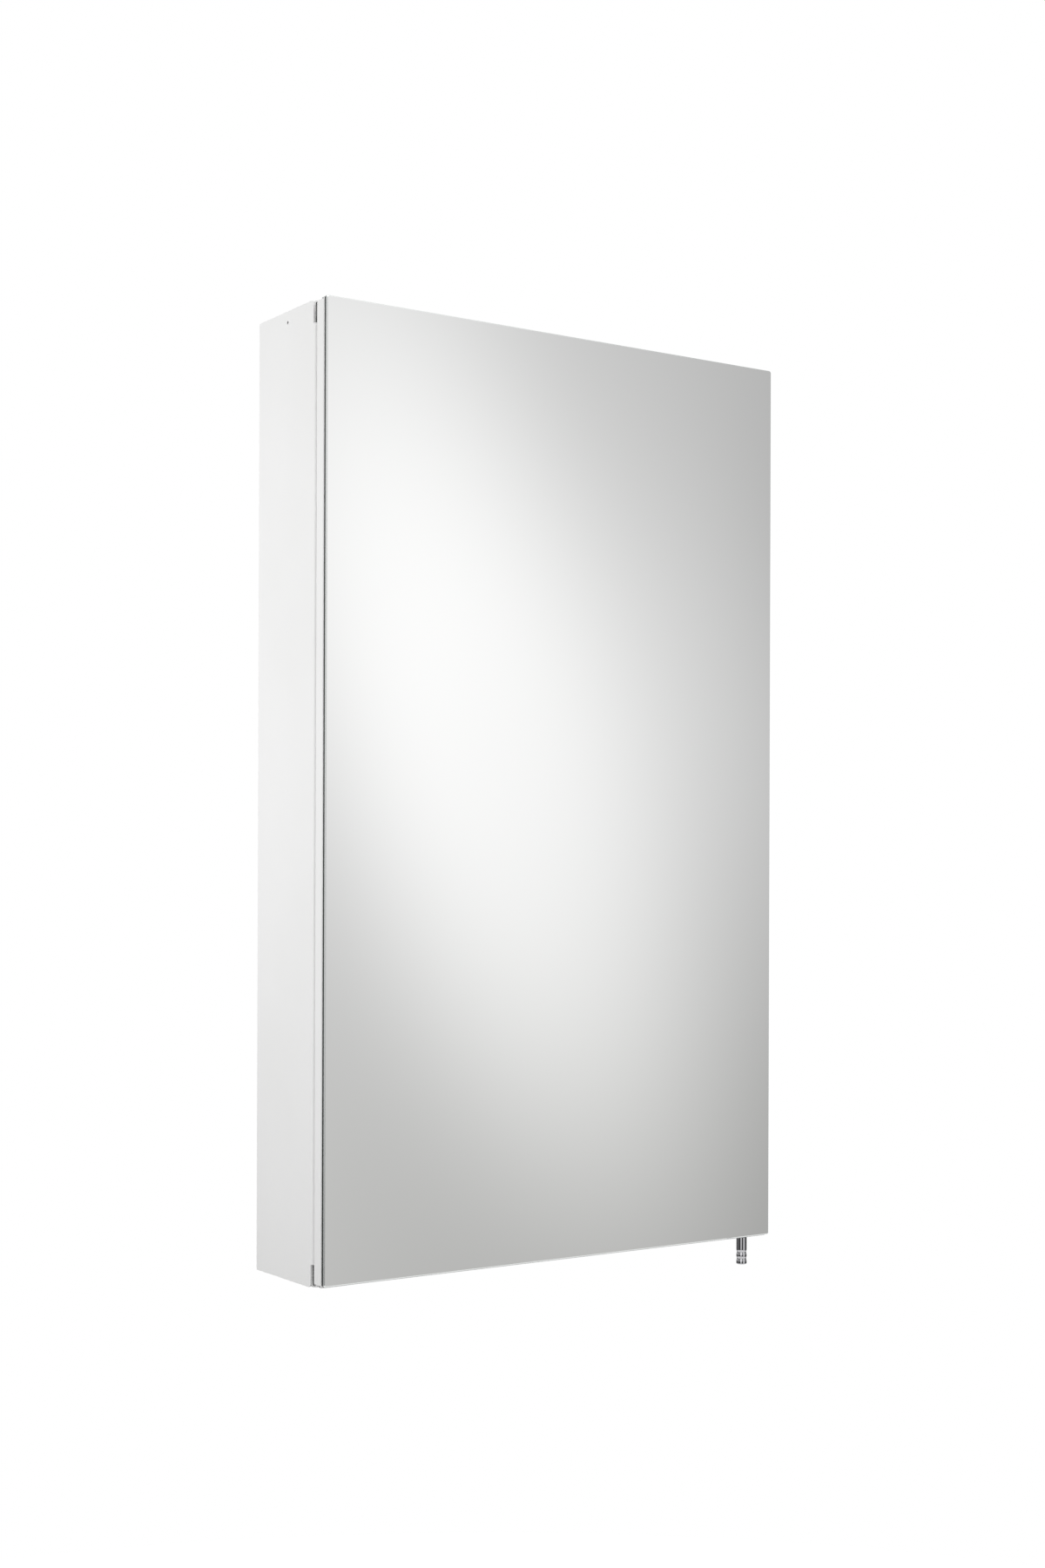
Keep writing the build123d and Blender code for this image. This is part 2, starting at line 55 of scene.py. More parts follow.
class Wire:  # an output socket that adds its Math nodes by itself
    def __init__(self, graph, socket):
        self.graph = graph
        self.socket = socket

    def math(self, operation, *others):
        inputs = {i: value for i, value in enumerate((self, *others))}
        return self.graph.wire("ShaderNodeMath", {"operation": operation}, inputs)

    def __add__(self, other):
        return self.math("ADD", other)

    def __sub__(self, other):
        return self.math("SUBTRACT", other)

    def __mul__(self, other):
        return self.math("MULTIPLY", other)

    def __truediv__(self, other):
        return self.math("DIVIDE", other)

    def __rsub__(self, other):
        return self.graph.wire("ShaderNodeMath", {"operation": "SUBTRACT"}, {0: other, 1: self})

    __radd__ = __add__
    __rmul__ = __mul__

    def clamped(self):
        return self.math("MINIMUM", 1.0).math("MAXIMUM", 0.0)

    def step(self, low, high):  # 0 below low, 1 above high, smooth between
        inputs = {"Value": self, "From Min": low, "From Max": high}
        return self.graph.wire("ShaderNodeMapRange", {"interpolation_type": "SMOOTHSTEP"}, inputs)

    def bell(self, centre, width):  # 1 at centre, falling off like a bell
        away = (self - centre) * (1 / width)
        return (away * away * -1.0).math("EXPONENT")


class Graph:
    def __init__(self, tree):
        self.tree = tree

    def node(self, kind, settings=None, inputs=None):
        made = self.tree.nodes.new(kind)
        for key, value in (settings or {}).items():
            setattr(made, key, value)
        for key, value in (inputs or {}).items():
            if isinstance(value, Wire):
                self.tree.links.new(value.socket, made.inputs[key])
            else:
                made.inputs[key].default_value = value
        return made

    def wire(self, kind, settings=None, inputs=None, output=0):
        return Wire(self, self.node(kind, settings, inputs).outputs[output])

    def vector(self, operation, first, second):
        inputs = {0: first, 1: second}
        output = "Value" if operation == "DOT_PRODUCT" else "Vector"
        return self.wire("ShaderNodeVectorMath", {"operation": operation}, inputs, output)

    def point(self, x=0.0, y=0.0, z=0.0):
        return self.wire("ShaderNodeCombineXYZ", None, {0: x, 1: y, 2: z})

    def parts(self, vector):
        split = self.node("ShaderNodeSeparateXYZ", None, {0: vector})
        return [Wire(self, output) for output in split.outputs]


class Surface(Graph):
    def __init__(self, name):
        self.material = bpy.data.materials.new(name)
        self.material.use_nodes = True
        super().__init__(self.material.node_tree)
        self.tree.nodes.clear()
        self.place = self.wire("ShaderNodeTexCoord", output="Object")

    def noise(self, scale, detail=2.0, stretch=(1, 1, 1)):
        where = self.vector("MULTIPLY", self.place, stretch)
        inputs = {"Vector": where, "Scale": scale, "Detail": detail, "Roughness": 0.5}
        return self.wire("ShaderNodeTexNoise", None, inputs)

    def cells(self, scale):
        return self.wire("ShaderNodeTexVoronoi", None, {"Vector": self.place, "Scale": scale})

    def colour(self, mask, low, high):
        settings = {"data_type": "RGBA"}
        inputs = {0: mask, 6: low if isinstance(low, Wire) else (*low, 1)}
        inputs[7] = high if isinstance(high, Wire) else (*high, 1)
        return self.wire("ShaderNodeMix", settings, inputs, 2)

    def edgeNormal(self, radius):  # rounds the sheet's sharp edges for the light only
        return self.wire("ShaderNodeBevel", {"samples": 4}, {"Radius": radius})

    def bump(self, height, strength, distance, under=None):
        inputs = {"Height": height, "Strength": strength, "Distance": distance}
        if under:
            inputs["Normal"] = under
        return self.wire("ShaderNodeBump", None, inputs)

    def finish(self, **sockets):
        inputs = {key.replace("_", " "): value for key, value in sockets.items()}
        colour = inputs["Base Color"]
        if not isinstance(colour, Wire):
            inputs["Base Color"] = (*colour, 1)
        shader = self.wire("ShaderNodeBsdfPrincipled", None, inputs)
        self.node("ShaderNodeOutputMaterial", None, {"Surface": shader})
        return self.material


# Finishes

whitePaint = {
    "colour": (0.87, 0.87, 0.868),
    "worn": (0.845, 0.845, 0.84),
    "drift": 9.0, "grain": 620.0, "pores": 1900.0,  # scales of the patterns
    "gloss": 0.3,                                   # roughness at its lowest
    "relief": 0.22, "depth": 0.05 * mm,
    "edge": 0.25 * mm,
}


def powderCoat():
    coat = Surface("powderCoat")
    drift = coat.noise(whitePaint["drift"], 3.0)
    peel = coat.noise(whitePaint["grain"])
    pores = coat.cells(whitePaint["pores"])
    height = peel * 0.8 + pores * 0.2
    edge = coat.edgeNormal(whitePaint["edge"])
    return coat.finish(
        Base_Color=coat.colour(drift.step(0.3, 0.7), whitePaint["colour"], whitePaint["worn"]),
        Roughness=drift * 0.08 + peel * 0.06 + whitePaint["gloss"],
        Specular_IOR_Level=0.45,
        Normal=coat.bump(height, whitePaint["relief"], whitePaint["depth"], edge),
    )


mirrorGlass = {
    "silver": (0.965, 0.967, 0.962),
    "silverLow": (0.962, 0.965, 0.948),  # a little warmer towards the foot
    "arris": (0.9, 0.92, 0.91),
    "edge": (0.02, 0.024, 0.022),
    "backing": (0.36, 0.38, 0.39),
    "flatDepth": 0.05 * mm, "arrisDepth": 0.85 * mm, "backDepth": 0.02 * mm,
    "waves": 7.0, "grind": 2600.0,  # scales of the float's waves and the ground edge
}


def silveredGlass():
    glass = Surface("silveredGlass")
    low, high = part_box("mirror_glass")
    y, z = glass.parts(glass.place)[1:]
    deep = y - low.y  # 0 on the front face
    front = deep.math("LESS_THAN", mirrorGlass["flatDepth"])
    arris = deep.math("LESS_THAN", mirrorGlass["arrisDepth"]) - front
    back = y.math("GREATER_THAN", high.y - mirrorGlass["backDepth"])
    waves = glass.noise(mirrorGlass["waves"], 1.0, (1, 1, 0.6))
    grind = glass.noise(mirrorGlass["grind"], 2.0, (1, 1, 0.15))
    tint = glass.colour(z.step(low.z, 0.0), mirrorGlass["silverLow"], mirrorGlass["silver"])
    colour = glass.colour(front, mirrorGlass["edge"], tint)
    colour = glass.colour(arris, colour, mirrorGlass["arris"])
    colour = glass.colour(back, colour, mirrorGlass["backing"])
    height = waves * front * 4.0 + grind * (1.0 - front) * 0.02
    return glass.finish(
        Base_Color=colour,
        Metallic=(front + arris * 0.9).clamped(),
        Roughness=front * -0.2 + arris * -0.06 + back * 0.3 + grind * 0.04 + 0.2,
        Normal=glass.bump(height, 0.05, 0.02 * mm),
    )


def plated(name, colour, stain, rough, spangle):
    metal = Surface(name)
    patches = metal.cells(spangle)
    drift = metal.noise(60.0, 4.0)
    scratches = metal.noise(900.0, 2.0, (1, 1, 0.06))  # long along the height
    mask = (patches * 0.6 + drift * 0.6).step(0.2, 0.9)
    return metal.finish(
        Base_Color=metal.colour(mask, colour, stain),
        Metallic=1.0,
        Roughness=drift * 0.16 + scratches * 0.08 + rough,
        Normal=metal.bump(scratches, 0.12, 0.03 * mm, metal.edgeNormal(0.12 * mm)),
    )


def chrome():
    metal = Surface("chrome")
    haze = metal.noise(220.0, 3.0)
    lathe = metal.noise(5200.0, 1.0, (0.02, 0.02, 1))
    return metal.finish(
        Base_Color=metal.colour(haze, (0.62, 0.62, 0.64), (0.68, 0.68, 0.7)),
        Metallic=1.0,
        Roughness=haze * 0.03 + 0.035,
        Normal=metal.bump(lathe, 0.05, 0.01 * mm),
    )


def moulded(name, colour, shade, rough, grain, depth=0.02 * mm, clear=0.0, milky=0.0):
    plastic = Surface(name)
    drift = plastic.noise(45.0, 3.0)
    texture = plastic.noise(grain, 3.0)
    return plastic.finish(
        Base_Color=plastic.colour(drift, colour, shade),
        Roughness=texture * 0.12 + rough,
        Transmission_Weight=clear,
        Subsurface_Weight=milky,
        Subsurface_Scale=1.0 * mm,
        Normal=plastic.bump(texture, 0.35, depth, plastic.edgeNormal(0.2 * mm)),
    )


def ferrite():
    block = Surface("ferrite")
    speckle = block.cells(2600.0)
    drift = block.noise(160.0, 4.0)
    grains = block.colour(speckle.step(0.1, 0.6), (0.035, 0.036, 0.04), (0.075, 0.075, 0.08))
    return block.finish(
        Base_Color=grains,
        Roughness=drift * 0.3 + 0.45,
        Normal=block.bump(speckle + drift, 0.4, 0.05 * mm),
    )


def foamTape():
    foam = Surface("foamTape")
    bubbles = foam.cells(1800.0)
    return foam.finish(
        Base_Color=foam.colour(bubbles.step(0.0, 0.7), (0.6, 0.6, 0.58), (0.82, 0.82, 0.8)),
        Roughness=bubbles * 0.1 + 0.8,
        Normal=foam.bump(bubbles, 0.8, 0.1 * mm),
    )


# Two colours, the roughness and the pattern's scale, for each plated or moulded finish
platedFinishes = {
    "zincPlate": ((0.72, 0.735, 0.75), (0.6, 0.615, 0.63), 0.26, 420.0),
    "pinSteel": ((0.6, 0.6, 0.61), (0.54, 0.54, 0.55), 0.18, 900.0),
    "screwSteel": ((0.7, 0.7, 0.71), (0.6, 0.61, 0.62), 0.2, 700.0),
}
mouldedFinishes = {
    "catchPlastic": ((0.8, 0.8, 0.79), (0.76, 0.76, 0.745), 0.42, 1500.0),
    "bufferRubber": ((0.78, 0.79, 0.8), (0.7, 0.72, 0.73), 0.2, 700.0),
    "nylon": ((0.85, 0.85, 0.82), (0.8, 0.8, 0.76), 0.36, 1100.0),
}
finishes = {
    "white_steel": powderCoat(),
    "zinc_plate": plated("zincPlate", *platedFinishes["zincPlate"]),
    "pin_steel": plated("pinSteel", *platedFinishes["pinSteel"]),
    "screw_steel": plated("screwSteel", *platedFinishes["screwSteel"]),
    "catch_plastic": moulded("catchPlastic", *mouldedFinishes["catchPlastic"]),
    "magnet_black": ferrite(),
    "buffer_rubber": moulded("bufferRubber", *mouldedFinishes["bufferRubber"], 0.01 * mm, clear=0.6),
    "nylon": moulded("nylon", *mouldedFinishes["nylon"], milky=0.2),
    "tape_foam": foamTape(),
    "mirror_silver": silveredGlass(),
    "handle_chrome": chrome(),
}
for row in frame["record"]["subparts"]:
    node = nodes[row["node"]]
    if not node.material_slots:
        node.data.materials.append(None)
    for holder in node.material_slots:
        holder.material = finishes[row["material_slot"]]
print("finishes made:", len(finishes))


# Turned pieces: screws, buffers and the handle, grown from stacked rings

smoothBelow = 35  # degrees: sharper edges stay sharp


def growTree(name, sockets):
    tree = bpy.data.node_groups.new(name, "GeometryNodeTree")
    tree.interface.new_socket("Geometry", in_out="OUTPUT", socket_type="NodeSocketGeometry")
    for label, kind in sockets.items():
        tree.interface.new_socket(label, in_out="INPUT", socket_type="NodeSocket" + kind)
    graph = Graph(tree)
    entry = tree.nodes.new("NodeGroupInput")
    return graph, {label: Wire(graph, entry.outputs[label]) for label in sockets}


def grown(name, tree, values, body, replaced):
    mesh = bpy.data.meshes.new(name + "Seed")
    seed = bpy.data.objects.new(name + "Seed", mesh)
    bpy.context.collection.objects.link(seed)
    modifier = seed.modifiers.new("grow", "NODES")
    modifier.node_group = tree
    for item in tree.interface.items_tree:
        if item.in_out == "INPUT" and item.name in values:
            modifier[item.identifier] = values[item.name]
    evaluated = seed.evaluated_get(bpy.context.evaluated_depsgraph_get())
    result = bpy.data.meshes.new_from_object(evaluated)
    bpy.data.objects.remove(seed)
    result.name = name
    result.polygons.foreach_set("use_smooth", [True] * len(result.polygons))
    result.set_sharp_from_angle(angle=math.radians(smoothBelow))
    piece = bpy.data.objects.new(name, result)
    bpy.context.collection.objects.link(piece)
    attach(piece, body)
    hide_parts(replaced)
    return piece


def ringStack(graph, radius, height, rings, profile, base=0.0, sides=40):
    # a cylinder whose rings profile() draws in or out, with t from 0 at the foot to 1 at the top
    inputs = {"Vertices": sides, "Side Segments": rings, "Radius": radius, "Depth": height}
    drum = graph.wire("GeometryNodeMeshCylinder", {"fill_type": "NGON"}, inputs)
    x, y, z = graph.parts(graph.wire("GeometryNodeInputPosition"))
    t = z / height + 0.5
    share = profile(t, x, y)
    moved = graph.point(x * share, y * share, t * height + base)
    return graph.wire("GeometryNodeSetPosition", None, {"Geometry": drum, "Position": moved})


def rowOf(graph, ask, piece):
    # copies of a piece along a line, each turned the same way
    place = {"Count": ask["Count"], "Start Location": ask["Start"], "Offset": ask["Step"]}
    line = graph.wire("GeometryNodeMeshLine", {"mode": "OFFSET"}, place)
    turned = graph.wire("FunctionNodeEulerToRotation", None, {0: ask["Turn"]})
    inputs = {"Points": line, "Instance": piece, "Rotation": turned}
    return graph.wire("GeometryNodeInstanceOnPoints", None, inputs)


def endOf(graph, geometry, material):
    real = graph.wire("GeometryNodeRealizeInstances", None, {0: geometry})
    painted = graph.wire("GeometryNodeSetMaterial", None, {"Geometry": real, "Material": material})
    graph.node("NodeGroupOutput", None, {0: painted})


def headProfile(under, rim, dome):
    # from the under radius out to the rim, then drawn in over a domed top
    def profile(t, x, y):
        flare = (t / rim).math("MINIMUM", 1.0)
        crown = ((t - rim) / (1.001 - rim)).math("MAXIMUM", 0.0)
        return under + (1.0 - under) * flare - dome * crown * crown
    return profile


rowSockets = {"Start": "Vector", "Step": "Vector", "Count": "Int", "Turn": "Vector", "Material": "Material"}
threadDepth = 0.11  # of the shank's radius
threadRings, threadSides = 84, 20
headRings, bufferRings = 8, 14


def screwTree():
    sizes = ("Head Radius", "Head Height", "Under Share", "Rim Share", "Dome", "Sink",
             "Shank Radius", "Shank Length", "Thread Pitch",
             "Recess Width", "Recess Length", "Recess Depth")
    graph, ask = growTree("screwRow", {**dict.fromkeys(sizes, "Float"), **rowSockets})
    profile = headProfile(ask["Under Share"], ask["Rim Share"], ask["Dome"])
    sunk = ask["Sink"] * -1.0
    head = ringStack(graph, ask["Head Radius"], ask["Head Height"], headRings, profile, sunk)

    def thread(t, x, y):  # a fine saw that climbs once per turn
        turn = y.math("ARCTAN2", x) * (0.5 / math.pi)
        saw = (t * ask["Shank Length"] / ask["Thread Pitch"] + turn).math("FRACT")
        return 1.0 - (saw - 0.5).math("ABSOLUTE") * (2 * threadDepth)

    foot = (ask["Shank Length"] + ask["Sink"] * 0.5) * -1.0
    shank = ringStack(graph, ask["Shank Radius"], ask["Shank Length"], threadRings, thread, foot, threadSides)
    lift = graph.point(z=ask["Head Height"] - ask["Sink"])
    for wide, long in (("Recess Width", "Recess Length"), ("Recess Length", "Recess Width")):
        size = graph.point(ask[wide], ask[long], ask["Recess Depth"] * 2.0)
        cube = graph.wire("GeometryNodeMeshCube", None, {"Size": size})
        x, y, z = graph.parts(graph.wire("GeometryNodeInputPosition"))
        taper = z / ask["Recess Depth"] * 0.25 + 0.75  # each arm of the cross narrows downwards
        moved = {"Geometry": cube, "Position": graph.point(x * taper, y * taper, z), "Offset": lift}
        arm = graph.wire("GeometryNodeSetPosition", None, moved)
        settings = {"operation": "DIFFERENCE", "solver": "EXACT"}
        head = graph.wire("GeometryNodeMeshBoolean", settings, {"Mesh 1": head, "Mesh 2": arm})
    join = graph.node("GeometryNodeJoinGeometry")
    for part in (head, shank):
        graph.tree.links.new(part.socket, join.inputs[0])
    endOf(graph, rowOf(graph, ask, Wire(graph, join.outputs[0])), ask["Material"])
    return graph.tree


def pairOn(nodeName, radius, faceY):
    # the first place and the step to the second, for two pieces one above the other
    low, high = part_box(nodeName)
    start = Vector(((low.x + high.x) / 2, faceY, low.z + radius))
    return start, Vector((0, 0, high.z - low.z - 2 * radius))


screws = screwTree()

panHead = {
    "Head Radius": 2.7 * mm, "Head Height": 1.3 * mm, "Sink": 0.0,
    "Under Share": 1.0, "Rim Share": 0.35, "Dome": 0.42,
    "Shank Radius": 1.5 * mm, "Thread Pitch": 0.5 * mm,
    "Recess Width": 0.62 * mm, "Recess Length": 2.7 * mm, "Recess Depth": 0.85 * mm,
    "Count": 2, "Turn": (math.radians(-90), 0, 0), "Material": finishes["screw_steel"],
}
panHeadShy = 0.1 * mm  # how far the shank stays short of the solid's end
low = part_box("bush_screws")[0]
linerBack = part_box("door_liner")[1].y
start, step = pairOn("bush_screws", panHead["Head Radius"], linerBack)
panHead.update({"Start": start, "Step": step, "Shank Length": linerBack - low.y - panHeadShy})
grown("bushScrewPair", screws, panHead, "door", "bush_screws")

flatHead = {
    "Head Radius": 2.8 * mm, "Head Height": 1.1 * mm, "Sink": 1.1 * mm,
    "Under Share": 0.54, "Rim Share": 0.92, "Dome": 0.02,
    "Shank Radius": 1.5 * mm, "Thread Pitch": 0.5 * mm,
    "Recess Width": 0.55 * mm, "Recess Length": 2.7 * mm, "Recess Depth": 0.7 * mm,
    "Count": 2, "Turn": (math.radians(90), math.radians(22), 0), "Material": finishes["screw_steel"],
}
flatHeadShy = 0.7 * mm  # the same, with half of the sunk head
low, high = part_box("hinge_screws")
start, step = pairOn("hinge_screws", flatHead["Head Radius"], low.y)
flatHead.update({"Start": start, "Step": step, "Shank Length": high.y - low.y - flatHeadShy})
grown("hingeScrewPair", screws, flatHead, "cabinet", "hinge_screws")


def bufferTree():
    sizes = ("Radius", "Height", "Rim Share", "Dome")
    graph, ask = growTree("bufferPair", {**dict.fromkeys(sizes, "Float"), **rowSockets})
    profile = headProfile(1.0, ask["Rim Share"], ask["Dome"])
    dome = ringStack(graph, ask["Radius"], ask["Height"], bufferRings, profile)
    endOf(graph, rowOf(graph, ask, dome), ask["Material"])
    return graph.tree


low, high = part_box("door_buffers")
bufferRadius = (high.x - low.x) / 2
start, step = pairOn("door_buffers", bufferRadius, high.y)
buffers = {
    "Radius": bufferRadius, "Height": high.y - low.y, "Rim Share": 0.3, "Dome": 0.3,
    "Start": start, "Step": step, "Count": 2, "Turn": (math.radians(90), 0, 0),
    "Material": finishes["buffer_rubber"],
}
grown("bufferPair", bufferTree(), buffers, "cabinet", "door_buffers")


handleRings, handleSides = 180, 72


def handleTree():
    sizes = ("Radius", "Length", "Upper Waist", "Lower Waist", "Waist Width", "Waist Depth", "End Round")
    sockets = {**dict.fromkeys(sizes, "Float"), "Foot": "Vector", "Material": "Material"}
    graph, ask = growTree("stubHandle", sockets)

    def profile(t, x, y):
        up = t * ask["Length"]
        down = ask["Length"] - up
        share = 1.0
        for waist in ("Upper Waist", "Lower Waist"):
            away = (down - ask[waist]) / ask["Waist Width"]
            hollow = (away * away * -1.0).math("EXPONENT") * ask["Waist Depth"]
            share = share - hollow / ask["Radius"]
        near = (1.0 - up / ask["End Round"]).math("MAXIMUM", 0.0)
        curve = 1.0 - (1.0 - near * near).math("MAXIMUM", 0.0).math("SQRT")
        return share - curve * ask["End Round"] / ask["Radius"]

    rod = ringStack(graph, ask["Radius"], ask["Length"], handleRings, profile, 0.0, handleSides)
    moved = {"Geometry": rod, "Translation": ask["Foot"]}
    placed = graph.wire("GeometryNodeTransform", None, moved)
    endOf(graph, placed, ask["Material"])
    return graph.tree


low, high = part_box("door_handle")
handle = {
    "Radius": (high.x - low.x) / 2, "Length": high.z - low.z,
    "Upper Waist": 10.3 * mm, "Lower Waist": 14.7 * mm,  # down from the handle's top
    "Waist Width": 1.0 * mm, "Waist Depth": 0.34 * mm, "End Round": 0.7 * mm,
    "Foot": Vector(((low.x + high.x) / 2, (low.y + high.y) / 2, low.z)),
    "Material": finishes["handle_chrome"],
}
grown("stubHandle", handleTree(), handle, "door", "door_handle")
print("turned pieces grown")


# Tabs that close the ends of the top and bottom flanges, seen where the side lips are cut away

flangeEnds = {
    "fromSide": 2.75 * mm,  # from the panel's side to the tab
    "thick": 0.8 * mm, "deep": 9.4 * mm,
    "sunk": 0.6 * mm,       # into the flange's own sheet, so that no gap shows
}


def flangeEndTabs():
    shape = bmesh.new()
    for panel in ("top_panel", "bottom_panel"):
        low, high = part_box(panel)
        out = high.x - flangeEnds["fromSide"] - flangeEnds["thick"] / 2
        ahead = low.y + flangeEnds["sunk"] + flangeEnds["deep"] / 2
        size = (flangeEnds["thick"], flangeEnds["deep"], high.z - low.z - 2 * flangeEnds["sunk"], 1)
        for side in (-1, 1):
            middle = Matrix.Translation((side * out, ahead, (low.z + high.z) / 2))
            bmesh.ops.create_cube(shape, size=1.0, matrix=middle @ Matrix.Diagonal(size))
    mesh = bpy.data.meshes.new("flangeEnds")
    shape.to_mesh(mesh)
    shape.free()
    mesh.materials.append(finishes["white_steel"])
    tabs = bpy.data.objects.new("flangeEnds", mesh)
    bpy.context.collection.objects.link(tabs)
    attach(tabs, "cabinet")


flangeEndTabs()
print("flange ends closed")


# Camera

camera = {
    "place": (-0.8003, -1.2275, -0.0458),
    "yaw": 34.045, "pitch": 0.022, "roll": 0.184,  # degrees, with yaw from +Y towards +X
    "lens": 49.39, "shift": 0.0542,
}


def placeCamera():
    yaw, pitch, roll = (math.radians(camera[key]) for key in ("yaw", "pitch", "roll"))
    flat = math.cos(pitch)
    ahead = Vector((math.sin(yaw) * flat, math.cos(yaw) * flat, math.sin(pitch)))
    level = Vector((math.cos(yaw), -math.sin(yaw), 0))
    rise = level.cross(ahead)
    right = level * math.cos(roll) + rise * math.sin(roll)
    up = rise * math.cos(roll) - level * math.sin(roll)
    lens = bpy.data.cameras.new("camera")
    lens.lens = camera["lens"]
    lens.sensor_width = 36.0
    lens.shift_y = camera["shift"]
    lens.clip_start = 0.01
    eye = bpy.data.objects.new("camera", lens)
    turned = Matrix((right, up, -ahead)).transposed().to_4x4()
    eye.matrix_world = Matrix.Translation(camera["place"]) @ turned
    bpy.context.collection.objects.link(eye)
    bpy.context.scene.camera = eye


placeCamera()


# Studio: plain white for the eye, a soft panel and grey walls for the gloss, a glow from above for the rest
# Bearings ("turn") are degrees from the soft panel's middle; heights are the direction's z
studio = {
    "ahead": 34.045,        # bearing of the soft panel's middle, from -Y towards +X
    "fillBelow": 0.565, "fillAbove": 0.33, "fillFrom": -0.6, "fillTo": 0.5,  # lights matt surfaces
    "panelGain": 1.035, "panelBase": 0.489, "panelSide": -0.843, "panelRise": 0.284,
    "panelLeft": (-46, -34), "panelRight": (26, 34),  # where the panel fades out
    "hotSpots": (
        {"level": 0.425, "across": -0.018, "up": 0.062, "tilt": 18.6,
         "wide": 0.084, "tall": 0.219, "power": 1.41},
        {"level": 0.143, "across": 0.093, "up": 0.081, "tilt": 16.8,
         "wide": 0.053, "tall": 0.144, "power": 1.0},
    ),
    "restLevel": 0.22,      # the studio's walls, beside the panel
    "overhead": {"from": 0.7, "to": 0.88, "level": 0.65},
    "behind": {"turn": (112, 140), "from": -0.15, "to": 0.1, "level": 0.35},
    "upper": {"from": -0.15, "to": 0.25, "level": 0.15},
    "flags": {"height": -0.19, "tall": 0.11, "dark": 0.85, "lessBehind": 0.5},
    "strip": {"turn": -82.0, "wide": 10.0, "from": -0.26, "to": -0.08, "low": 0.45, "level": 1.5},
}


def softPanel(across, rise):
    # two slopes that level off, and two bright patches
    slope = across.math("MINIMUM", 0.3).math("MAXIMUM", -0.2) * studio["panelSide"]
    climb = rise.math("MINIMUM", 0.4).math("MAXIMUM", -0.4) * studio["panelRise"]
    panel = slope + climb + studio["panelBase"]
    for spot in studio["hotSpots"]:
        tilt = math.radians(spot["tilt"])
        alongX = across - spot["across"]
        alongZ = rise - spot["up"]
        wide = (alongX * math.cos(tilt) + alongZ * math.sin(tilt)) * (1 / spot["wide"])
        tall = (alongZ * math.cos(tilt) - alongX * math.sin(tilt)) * (1 / spot["tall"])
        spread = (wide * wide + tall * tall).math("POWER", spot["power"])
        panel = panel + (spread * -1.0).math("EXPONENT") * spot["level"]
    return panel * studio["panelGain"]


def studioWalls(turn, z):
    # grey walls with a bright strip at the left and dark flags low down, for chrome and edges
    overhead, behind, upper = studio["overhead"], studio["behind"], studio["upper"]
    flags, strip = studio["flags"], studio["strip"]
    back = turn.math("ABSOLUTE").step(*behind["turn"])
    walls = z.step(overhead["from"], overhead["to"]) * overhead["level"] + studio["restLevel"]
    walls = walls + back * z.step(behind["from"], behind["to"]) * behind["level"]
    walls = walls + z.step(upper["from"], upper["to"]) * upper["level"]
    low = z.bell(flags["height"], flags["tall"])
    walls = walls * (1.0 - low * (flags["dark"] - back * flags["lessBehind"]))
    full = z.step(strip["from"], strip["to"]) * (1 - strip["low"]) + strip["low"]
    return walls + turn.bell(strip["turn"], strip["wide"]) * full * strip["level"]


def studioWorld():
    world = bpy.data.worlds.new("studio")
    world.use_nodes = True
    bpy.context.scene.world = world
    graph = Graph(world.node_tree)
    graph.tree.nodes.clear()
    way = graph.wire("ShaderNodeTexCoord", output="Generated")
    bearing = math.radians(studio["ahead"])
    ahead = graph.vector("DOT_PRODUCT", way, (math.sin(bearing), -math.cos(bearing), 0))
    aside = graph.vector("DOT_PRODUCT", way, (math.cos(bearing), math.sin(bearing), 0))
    z = graph.parts(way)[2]
    depth = ahead.math("MAXIMUM", 0.05)
    turn = aside.math("ARCTAN2", ahead) * (180 / math.pi)
    inPanel = turn.step(*studio["panelLeft"]) * (1.0 - turn.step(*studio["panelRight"]))
    panel = inPanel * softPanel(aside / depth, z / depth)
    seen = (panel + (1.0 - inPanel) * studioWalls(turn, z)).math("MAXIMUM", 0.0)
    fill = z.step(studio["fillFrom"], studio["fillTo"]) * studio["fillAbove"] + studio["fillBelow"]
    path = graph.node("ShaderNodeLightPath")
    kinds = ("Is Glossy Ray", "Is Camera Ray", "Is Transmission Ray")
    gloss, eye, through = (Wire(graph, path.outputs[kind]) for kind in kinds)
    direct = (eye + through).clamped()  # these see plain white
    level = direct + (1.0 - direct) * (gloss * seen + (1.0 - gloss) * fill)
    shine = graph.wire("ShaderNodeBackground", None, {"Color": (1, 1, 1, 1), "Strength": level})
    graph.node("ShaderNodeOutputWorld", None, {"Surface": shine})


studioWorld()

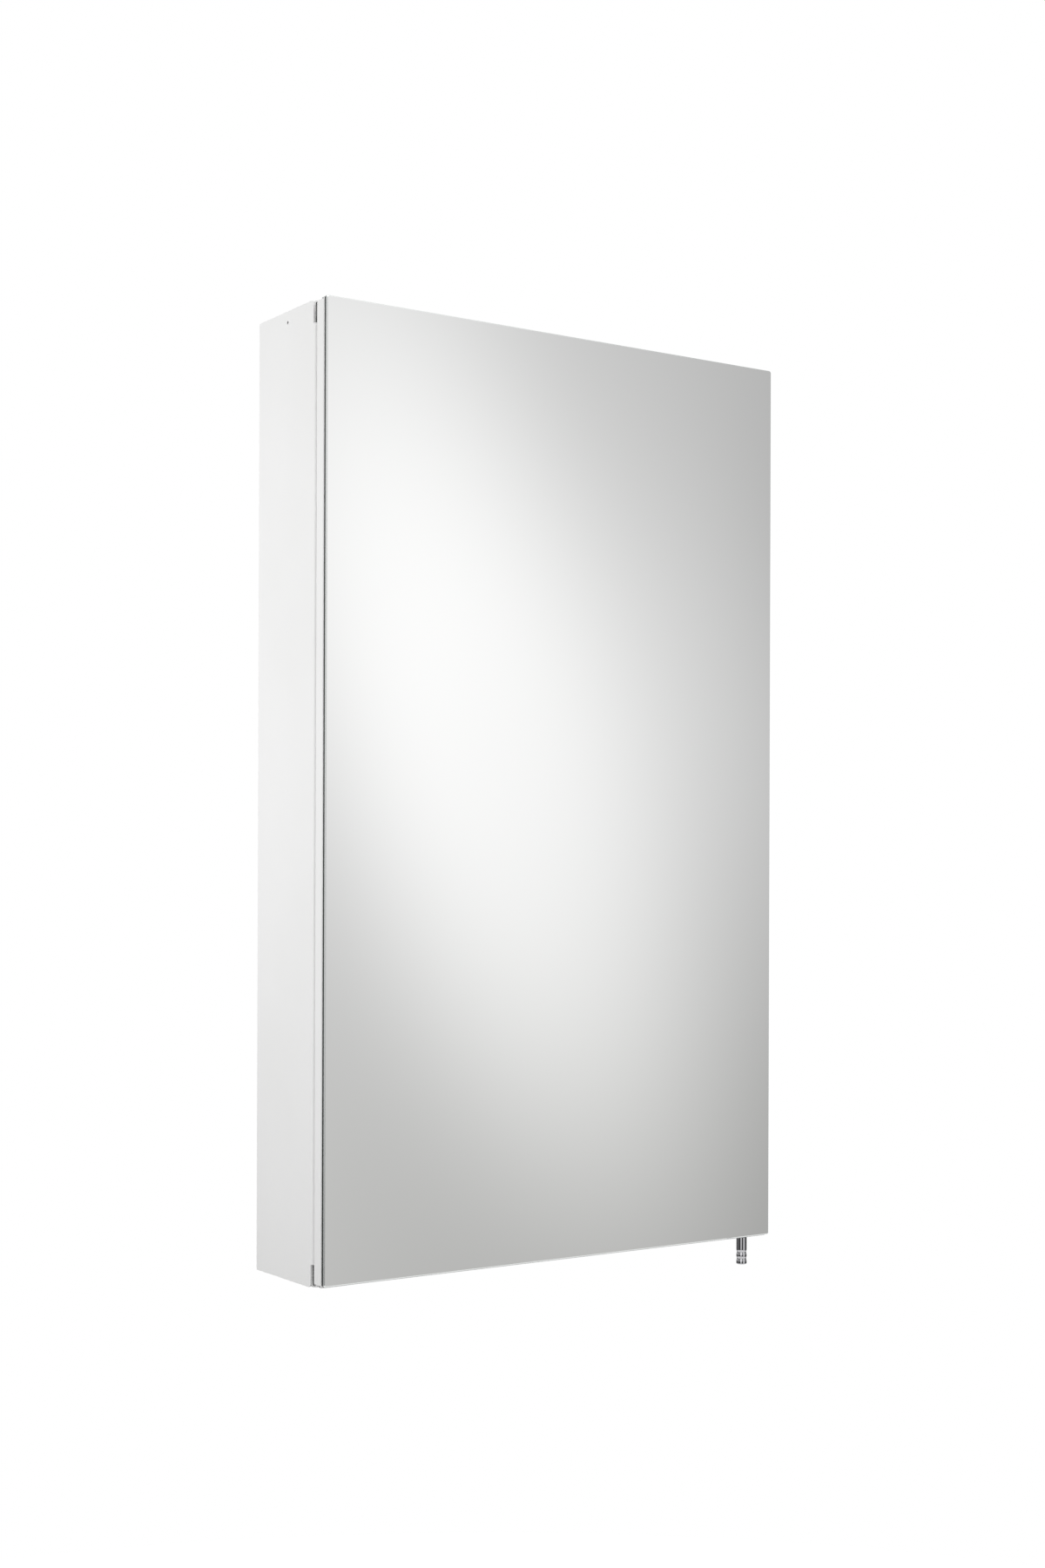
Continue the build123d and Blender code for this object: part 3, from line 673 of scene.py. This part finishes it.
lamps = {
    "sideLamp": {"place": (-0.85, 0.05, 0.09), "aim": (-0.175, 0.03, 0.09),
                 "wide": 0.4, "tall": 0.62, "spread": 95, "power": 0.64},
    "frontLamp": {"place": (0.5, -2.2, 1.4), "aim": (0.0, 0.0, 0.0),
                  "wide": 1.6, "tall": 1.6, "spread": 180, "power": 14.0},
}


def softLamp(name, lamp):
    light = bpy.data.lights.new(name, "AREA")
    light.shape = "RECTANGLE"
    light.size, light.size_y = lamp["wide"], lamp["tall"]
    light.spread = math.radians(lamp["spread"])
    light.energy = lamp["power"]
    stand = bpy.data.objects.new(name, light)
    stand.location = lamp["place"]
    aim = Vector(lamp["aim"]) - stand.location
    stand.rotation_euler = aim.to_track_quat("-Z", "Y").to_euler()
    stand.visible_camera = False
    stand.visible_glossy = False
    bpy.context.collection.objects.link(stand)


for name, lamp in lamps.items():
    softLamp(name, lamp)

floor = {
    "drop": 1.3, "radius": 2.6, "sides": 96,
    "pale": (0.86, 0.86, 0.86),
    "shaded": (0.4, 0.4, 0.4),  # as it lights the underside
    "lift": 0.45,  # brings it up to the white background for the camera
}


def paleFloor():
    mesh = bpy.data.meshes.new("floor")
    rim = [2 * math.pi * i / floor["sides"] for i in range(floor["sides"])]
    radius, drop = floor["radius"], floor["drop"]
    points = [(math.cos(angle) * radius, math.sin(angle) * radius, -drop) for angle in rim]
    mesh.from_pydata(points, [], [list(range(floor["sides"]))])
    ground = bpy.data.objects.new("floor", mesh)
    bpy.context.collection.objects.link(ground)
    paint = Surface("paleFloor")
    path = paint.node("ShaderNodeLightPath")
    direct = Wire(paint, path.outputs["Is Camera Ray"])
    scattered = Wire(paint, path.outputs["Is Diffuse Ray"])
    tone = paint.colour(scattered, floor["pale"], floor["shaded"])
    matt = paint.wire("ShaderNodeBsdfDiffuse", None, {"Color": tone})
    lift = paint.wire("ShaderNodeEmission", None, {"Strength": direct * floor["lift"]})
    both = paint.wire("ShaderNodeAddShader", None, {0: matt, 1: lift})
    paint.node("ShaderNodeOutputMaterial", None, {"Surface": both})
    mesh.materials.append(paint.material)


paleFloor()
bpy.context.scene.view_settings.view_transform = "Standard"
print("studio set")
